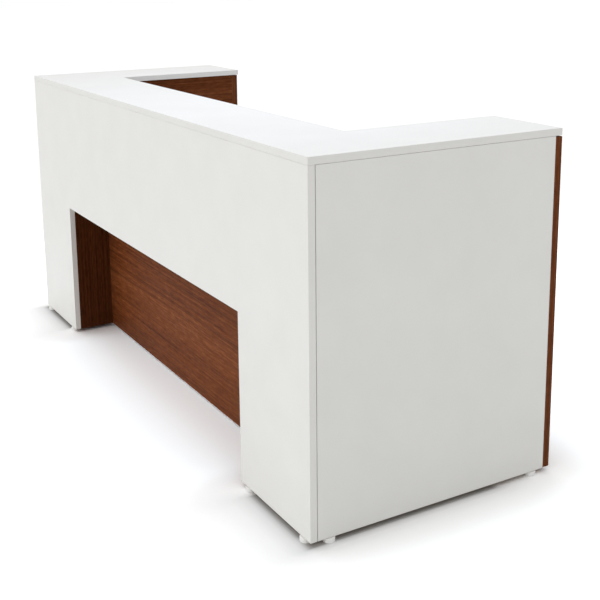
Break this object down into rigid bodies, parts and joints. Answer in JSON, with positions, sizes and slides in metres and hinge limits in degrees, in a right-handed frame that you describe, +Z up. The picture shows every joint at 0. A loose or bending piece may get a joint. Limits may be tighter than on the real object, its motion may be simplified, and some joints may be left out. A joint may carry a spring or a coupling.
{
  "type": "reception desk",
  "caption": "U-shaped reception desk with a white counter over a cut-out front, walnut-lined recess, closed returns, inner work surface and screw-down levelling glides.",
  "frame": {"origin": "on the floor under the middle of the desk's plan box", "axes": "+X along the desk's length to the visitor's right, +Y from the visitor's side to the user's side, +Z up"},
  "size_m": [2.454, 0.887, 1.1],
  "materials": {
    "white_laminate": "matt white laminate on board, matching edge band",
    "walnut": "satin walnut-grained laminate on board",
    "raw_board": "unfaced particle board, hidden",
    "glide_plastic": "white moulded nylon",
    "zinc_steel": "bright zinc plate",
    "painted_steel": "dark grey powder coat",
    "grommet_plastic": "dark grey moulded plastic"
  },
  "bodies": {
    "desk": {"counter_top": "white_laminate", "front_panel": "white_laminate", "left_end_panel": "white_laminate", "right_end_panel": "white_laminate", "worksurface": "white_laminate", "left_rear_panel": "walnut", "right_rear_panel": "walnut", "left_inner_panel": "walnut", "right_inner_panel": "walnut", "left_recess_panel": "walnut", "right_recess_panel": "walnut", "recess_soffit": "walnut", "back_panel": "walnut", "left_cleat": "walnut", "right_cleat": "walnut", "left_return_divider": "raw_board", "left_bracket": "painted_steel", "left_grommet_liner": "grommet_plastic", "right_return_divider": "raw_board", "right_bracket": "painted_steel", "right_grommet_liner": "grommet_plastic", "front_left_outer_glide_insert": "zinc_steel", "front_left_inner_glide_insert": "zinc_steel", "end_left_front_glide_insert": "zinc_steel", "inner_left_front_glide_insert": "zinc_steel", "end_left_rear_glide_insert": "zinc_steel", "inner_left_rear_glide_insert": "zinc_steel", "front_right_outer_glide_insert": "zinc_steel", "front_right_inner_glide_insert": "zinc_steel", "end_right_front_glide_insert": "zinc_steel", "inner_right_front_glide_insert": "zinc_steel", "end_right_rear_glide_insert": "zinc_steel", "inner_right_rear_glide_insert": "zinc_steel"},
    "front_left_outer_foot": {"front_left_outer_glide_foot": "glide_plastic"},
    "front_left_outer_stem": {"front_left_outer_glide_stem": "zinc_steel"},
    "front_left_inner_foot": {"front_left_inner_glide_foot": "glide_plastic"},
    "front_left_inner_stem": {"front_left_inner_glide_stem": "zinc_steel"},
    "end_left_front_foot": {"end_left_front_glide_foot": "glide_plastic"},
    "end_left_front_stem": {"end_left_front_glide_stem": "zinc_steel"},
    "inner_left_front_foot": {"inner_left_front_glide_foot": "glide_plastic"},
    "inner_left_front_stem": {"inner_left_front_glide_stem": "zinc_steel"},
    "end_left_rear_foot": {"end_left_rear_glide_foot": "glide_plastic"},
    "end_left_rear_stem": {"end_left_rear_glide_stem": "zinc_steel"},
    "inner_left_rear_foot": {"inner_left_rear_glide_foot": "glide_plastic"},
    "inner_left_rear_stem": {"inner_left_rear_glide_stem": "zinc_steel"},
    "front_right_outer_foot": {"front_right_outer_glide_foot": "glide_plastic"},
    "front_right_outer_stem": {"front_right_outer_glide_stem": "zinc_steel"},
    "front_right_inner_foot": {"front_right_inner_glide_foot": "glide_plastic"},
    "front_right_inner_stem": {"front_right_inner_glide_stem": "zinc_steel"},
    "end_right_front_foot": {"end_right_front_glide_foot": "glide_plastic"},
    "end_right_front_stem": {"end_right_front_glide_stem": "zinc_steel"},
    "inner_right_front_foot": {"inner_right_front_glide_foot": "glide_plastic"},
    "inner_right_front_stem": {"inner_right_front_glide_stem": "zinc_steel"},
    "end_right_rear_foot": {"end_right_rear_glide_foot": "glide_plastic"},
    "end_right_rear_stem": {"end_right_rear_glide_stem": "zinc_steel"},
    "inner_right_rear_foot": {"inner_right_rear_glide_foot": "glide_plastic"},
    "inner_right_rear_stem": {"inner_right_rear_glide_stem": "zinc_steel"},
    "left_grommet_cap": {"left_grommet_cap": "grommet_plastic"},
    "right_grommet_cap": {"right_grommet_cap": "grommet_plastic"}
  },
  "joints": [
    {"name": "front_left_outer_glide_travel", "type": "slide", "parent": "desk", "child": "front_left_outer_foot", "axis": [0, 0, -1], "range_m": [0, 0.012]},
    {"name": "front_left_outer_glide_turn", "type": "hinge", "parent": "front_left_outer_foot", "child": "front_left_outer_stem", "pos_m": [-1.176, -0.429, 0], "axis": [0, 0, -1], "range_deg": [0, 3456]},
    {"name": "front_left_inner_glide_travel", "type": "slide", "parent": "desk", "child": "front_left_inner_foot", "axis": [0, 0, -1], "range_m": [0, 0.012]},
    {"name": "front_left_inner_glide_turn", "type": "hinge", "parent": "front_left_inner_foot", "child": "front_left_inner_stem", "pos_m": [-0.844, -0.429, 0], "axis": [0, 0, -1], "range_deg": [0, 3456]},
    {"name": "end_left_front_glide_travel", "type": "slide", "parent": "desk", "child": "end_left_front_foot", "axis": [0, 0, -1], "range_m": [0, 0.012]},
    {"name": "end_left_front_glide_turn", "type": "hinge", "parent": "end_left_front_foot", "child": "end_left_front_stem", "pos_m": [-1.209, -0.374, 0], "axis": [0, 0, -1], "range_deg": [0, 3456]},
    {"name": "inner_left_front_glide_travel", "type": "slide", "parent": "desk", "child": "inner_left_front_foot", "axis": [0, 0, -1], "range_m": [0, 0.012]},
    {"name": "inner_left_front_glide_turn", "type": "hinge", "parent": "inner_left_front_foot", "child": "inner_left_front_stem", "pos_m": [-0.933, -0.374, 0], "axis": [0, 0, -1], "range_deg": [0, 3456]},
    {"name": "end_left_rear_glide_travel", "type": "slide", "parent": "desk", "child": "end_left_rear_foot", "axis": [0, 0, -1], "range_m": [0, 0.012]},
    {"name": "end_left_rear_glide_turn", "type": "hinge", "parent": "end_left_rear_foot", "child": "end_left_rear_stem", "pos_m": [-1.209, 0.371, 0], "axis": [0, 0, -1], "range_deg": [0, 3456]},
    {"name": "inner_left_rear_glide_travel", "type": "slide", "parent": "desk", "child": "inner_left_rear_foot", "axis": [0, 0, -1], "range_m": [0, 0.012]},
    {"name": "inner_left_rear_glide_turn", "type": "hinge", "parent": "inner_left_rear_foot", "child": "inner_left_rear_stem", "pos_m": [-0.933, 0.371, 0], "axis": [0, 0, -1], "range_deg": [0, 3456]},
    {"name": "front_right_outer_glide_travel", "type": "slide", "parent": "desk", "child": "front_right_outer_foot", "axis": [0, 0, -1], "range_m": [0, 0.012]},
    {"name": "front_right_outer_glide_turn", "type": "hinge", "parent": "front_right_outer_foot", "child": "front_right_outer_stem", "pos_m": [1.176, -0.429, 0], "axis": [0, 0, -1], "range_deg": [0, 3456]},
    {"name": "front_right_inner_glide_travel", "type": "slide", "parent": "desk", "child": "front_right_inner_foot", "axis": [0, 0, -1], "range_m": [0, 0.012]},
    {"name": "front_right_inner_glide_turn", "type": "hinge", "parent": "front_right_inner_foot", "child": "front_right_inner_stem", "pos_m": [0.844, -0.429, 0], "axis": [0, 0, -1], "range_deg": [0, 3456]},
    {"name": "end_right_front_glide_travel", "type": "slide", "parent": "desk", "child": "end_right_front_foot", "axis": [0, 0, -1], "range_m": [0, 0.012]},
    {"name": "end_right_front_glide_turn", "type": "hinge", "parent": "end_right_front_foot", "child": "end_right_front_stem", "pos_m": [1.209, -0.374, 0], "axis": [0, 0, -1], "range_deg": [0, 3456]},
    {"name": "inner_right_front_glide_travel", "type": "slide", "parent": "desk", "child": "inner_right_front_foot", "axis": [0, 0, -1], "range_m": [0, 0.012]},
    {"name": "inner_right_front_glide_turn", "type": "hinge", "parent": "inner_right_front_foot", "child": "inner_right_front_stem", "pos_m": [0.933, -0.374, 0], "axis": [0, 0, -1], "range_deg": [0, 3456]},
    {"name": "end_right_rear_glide_travel", "type": "slide", "parent": "desk", "child": "end_right_rear_foot", "axis": [0, 0, -1], "range_m": [0, 0.012]},
    {"name": "end_right_rear_glide_turn", "type": "hinge", "parent": "end_right_rear_foot", "child": "end_right_rear_stem", "pos_m": [1.209, 0.371, 0], "axis": [0, 0, -1], "range_deg": [0, 3456]},
    {"name": "inner_right_rear_glide_travel", "type": "slide", "parent": "desk", "child": "inner_right_rear_foot", "axis": [0, 0, -1], "range_m": [0, 0.012]},
    {"name": "inner_right_rear_glide_turn", "type": "hinge", "parent": "inner_right_rear_foot", "child": "inner_right_rear_stem", "pos_m": [0.933, 0.371, 0], "axis": [0, 0, -1], "range_deg": [0, 3456]},
    {"name": "left_grommet_cap_turn", "type": "hinge", "parent": "desk", "child": "left_grommet_cap", "pos_m": [-0.622, -0.166, 0.7375], "axis": [0, 0, 1], "continuous": true},
    {"name": "right_grommet_cap_turn", "type": "hinge", "parent": "desk", "child": "right_grommet_cap", "pos_m": [0.622, -0.166, 0.7375], "axis": [0, 0, 1], "continuous": true}
  ],
  "couplings": [
    {"joint": "front_left_outer_glide_travel", "follows": "front_left_outer_glide_turn", "m_per_rad": 0.00019894},
    {"joint": "front_left_inner_glide_travel", "follows": "front_left_inner_glide_turn", "m_per_rad": 0.00019894},
    {"joint": "end_left_front_glide_travel", "follows": "end_left_front_glide_turn", "m_per_rad": 0.00019894},
    {"joint": "inner_left_front_glide_travel", "follows": "inner_left_front_glide_turn", "m_per_rad": 0.00019894},
    {"joint": "end_left_rear_glide_travel", "follows": "end_left_rear_glide_turn", "m_per_rad": 0.00019894},
    {"joint": "inner_left_rear_glide_travel", "follows": "inner_left_rear_glide_turn", "m_per_rad": 0.00019894},
    {"joint": "front_right_outer_glide_travel", "follows": "front_right_outer_glide_turn", "m_per_rad": 0.00019894},
    {"joint": "front_right_inner_glide_travel", "follows": "front_right_inner_glide_turn", "m_per_rad": 0.00019894},
    {"joint": "end_right_front_glide_travel", "follows": "end_right_front_glide_turn", "m_per_rad": 0.00019894},
    {"joint": "inner_right_front_glide_travel", "follows": "inner_right_front_glide_turn", "m_per_rad": 0.00019894},
    {"joint": "end_right_rear_glide_travel", "follows": "end_right_rear_glide_turn", "m_per_rad": 0.00019894},
    {"joint": "inner_right_rear_glide_travel", "follows": "inner_right_rear_glide_turn", "m_per_rad": 0.00019894}
  ]
}
